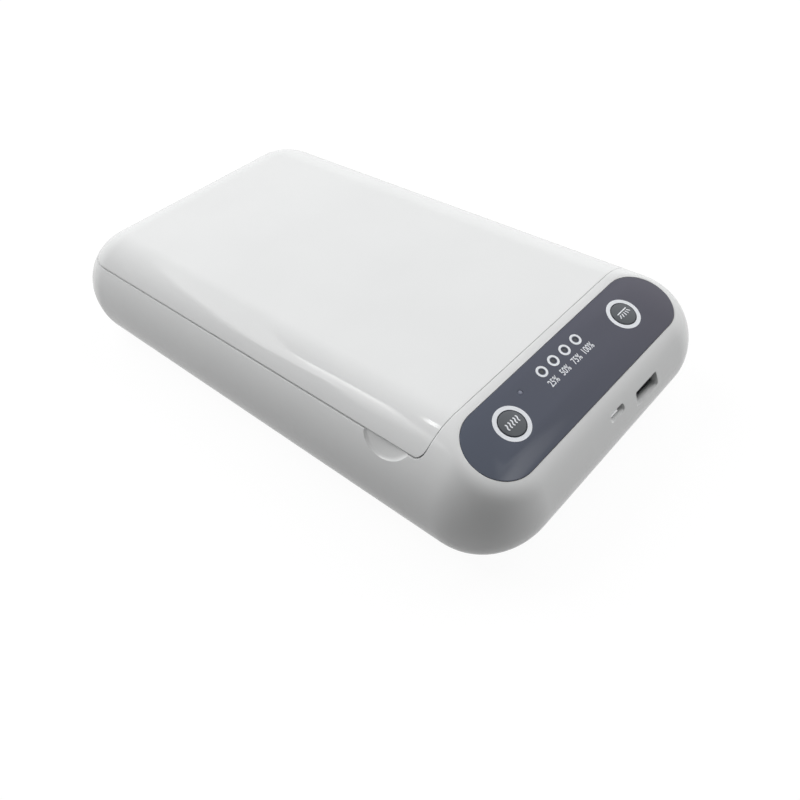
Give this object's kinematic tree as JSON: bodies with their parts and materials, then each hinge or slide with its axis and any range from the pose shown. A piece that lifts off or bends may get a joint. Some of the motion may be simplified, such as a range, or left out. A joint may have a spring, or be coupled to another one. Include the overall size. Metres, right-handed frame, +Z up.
{
  "type": "uv sanitizer box for phones",
  "caption": "Flat rounded box with a rear-hinged lid, phone well with lamps above and below, sloping key panel with push keys and gauge lenses, and sockets in the front end.",
  "frame": {"origin": "on the surface the box stands on, under the middle of the body's outline", "axes": "+Y runs from the front end, with the key panel and the sockets, to the rear end with the hinges; +Z is up; +X is the right side seen from the front, on the side of the large socket"},
  "size_m": [0.126, 0.226, 0.0388],
  "materials": {
    "white_gloss": "polished moulded white shell",
    "white_inner": "satin moulded white",
    "panel": "smooth smoked blue-grey",
    "key_grey": "semi-gloss dark grey",
    "lens": "smoked clear light guide",
    "quartz": "clear tube",
    "steel": "plated sheet and pins",
    "screw_zinc": "zinc plated",
    "black_plastic": "moulded black",
    "board_green": "solder resist",
    "foot_rubber": "matt",
    "ferrite": "dark block",
    "felt": "pressed felt"
  },
  "bodies": {
    "case": {"upper_case": "white_gloss", "bottom_cover": "white_inner", "chamber_tray": "white_inner", "phone_rest": "white_inner", "aroma_cup": "white_inner", "lower_lamp_clip": "white_inner", "foot_front_left": "foot_rubber", "foot_front_right": "foot_rubber", "foot_rear_left": "foot_rubber", "foot_rear_right": "foot_rubber", "cover_screw_front_left": "screw_zinc", "cover_screw_front_right": "screw_zinc", "cover_screw_rear_left": "screw_zinc", "cover_screw_rear_right": "screw_zinc", "key_board_screw_left": "screw_zinc", "key_board_screw_right": "screw_zinc", "board_screw_left": "screw_zinc", "board_screw_right": "screw_zinc", "gauge_lens_1": "lens", "gauge_lens_2": "lens", "gauge_lens_3": "lens", "gauge_lens_4": "lens", "status_lens": "lens", "key_board": "board_green", "main_board": "board_green", "driver_board": "board_green", "lower_lamp_socket": "black_plastic", "uv_switch": "black_plastic", "aroma_switch": "black_plastic", "lid_sensor": "black_plastic", "usb_a_insert": "black_plastic", "micro_usb_insert": "black_plastic", "driver_capacitor": "black_plastic", "usb_a_shell": "steel", "micro_usb_shell": "steel", "case_magnet_left": "steel", "case_magnet_right": "steel", "hinge_pin_left": "steel", "hinge_pin_right": "steel", "control_panel": "panel", "lower_uv_lamp": "quartz", "driver_transformer": "ferrite", "aroma_pad": "felt"},
    "lid": {"lid_shell": "white_gloss", "lid_liner": "white_inner", "upper_uv_lamp": "quartz", "upper_lamp_socket": "black_plastic", "upper_lamp_clip": "white_inner", "lid_magnet_left": "steel", "lid_magnet_right": "steel", "lid_screw_front_left": "screw_zinc", "lid_screw_front_right": "screw_zinc", "lid_screw_rear_left": "screw_zinc", "lid_screw_rear_right": "screw_zinc"},
    "uv_key": {"uv_button": "key_grey"},
    "aroma_key": {"aroma_button": "key_grey"}
  },
  "joints": [
    {"name": "lid_hinge", "type": "hinge", "parent": "case", "child": "lid", "pos_m": [0, 0.107, 0.0295], "axis": [-1, 0, 0], "range_deg": [0, 110]},
    {"name": "uv_key_press", "type": "slide", "parent": "case", "child": "uv_key", "axis": [0, 0.3371, -0.9415], "range_m": [0, 0.0005], "stiffness_N_per_m": 800, "springref_m": -0.001},
    {"name": "aroma_key_press", "type": "slide", "parent": "case", "child": "aroma_key", "axis": [0, 0.3371, -0.9415], "range_m": [0, 0.0005], "stiffness_N_per_m": 800, "springref_m": -0.001}
  ]
}
